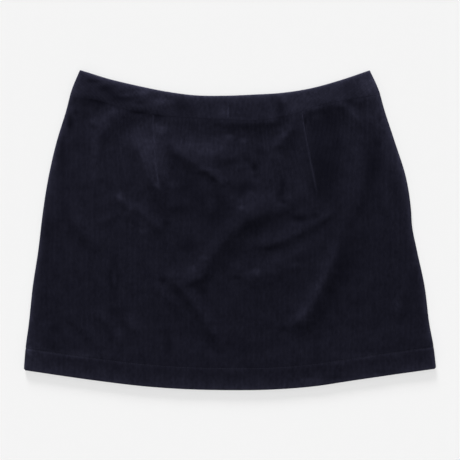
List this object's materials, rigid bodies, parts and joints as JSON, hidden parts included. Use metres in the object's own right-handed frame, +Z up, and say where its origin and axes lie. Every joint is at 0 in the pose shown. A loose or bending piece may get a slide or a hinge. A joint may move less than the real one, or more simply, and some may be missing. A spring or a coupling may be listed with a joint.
{
  "type": "a-line skirt",
  "caption": "Short flared skirt in dark ribbed cord with a shaped waistband, waist darts and a turned-up hem, laid flat with its back uppermost.",
  "frame": {"origin": "middle of the underside of the skirt's box, on the surface it lies on", "axes": "+X across the skirt, +Y from hem to waist, +Z up from the surface, out of the skirt's back"},
  "size_m": [0.5696, 0.4423, 0.0106],
  "materials": {
    "navy_cord": "fine-wale cotton needlecord, soft matt pile with a faint sheen",
    "navy_band_cord": "the same needlecord, interfaced, its wales running across the band",
    "zip_tape": "plain woven tape with a nylon coil",
    "zip_enamel": "semi-gloss enamel"
  },
  "bodies": {
    "root": {"back_panel": "navy_cord", "front_panel": "navy_cord", "back_waistband_left": "navy_band_cord", "back_waistband_right": "navy_band_cord", "front_waistband": "navy_band_cord", "side_zip_tape": "zip_tape", "side_zip_slider": "zip_enamel"}
  },
  "joints": []
}
